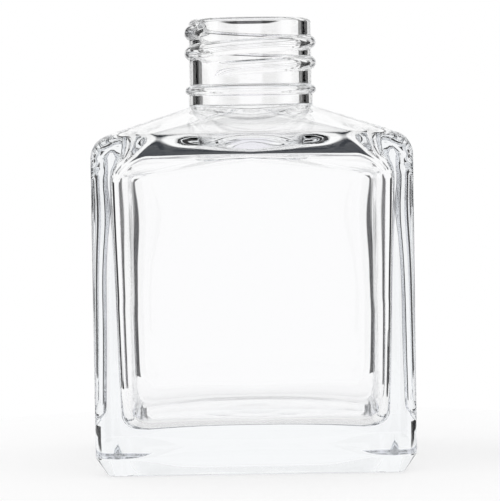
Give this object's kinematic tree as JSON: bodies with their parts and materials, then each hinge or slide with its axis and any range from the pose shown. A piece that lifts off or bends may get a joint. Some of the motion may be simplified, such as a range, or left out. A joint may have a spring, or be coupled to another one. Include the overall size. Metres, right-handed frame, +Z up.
{
  "type": "aftershave bottle",
  "caption": "Square clear glass bottle with thick walls, a heavy base, low sloping shoulders and a threaded neck, with its ribbed screw cap and sealing liner taken off beside it.",
  "frame": {"origin": "centre of the glass base, on the surface the bottle stands on", "axes": "+Z up along the neck, +X to the right across the front face, +Y to the back"},
  "size_m": [0.1235, 0.064, 0.0916],
  "materials": {
    "flint_glass": "clear, fire polished",
    "cap_plastic": "moulded, satin sides and gloss top",
    "liner_foam": "soft foamed sheet"
  },
  "bodies": {
    "bottle": {"glass_bottle": "flint_glass"},
    "cap": {"screw_cap": "cap_plastic", "cap_liner": "liner_foam"}
  },
  "joints": [
    {"name": "cap_lift", "type": "slide", "parent": "bottle", "child": "cap", "axis": [0, 0, 1], "range_m": [0, 0.12]}
  ]
}
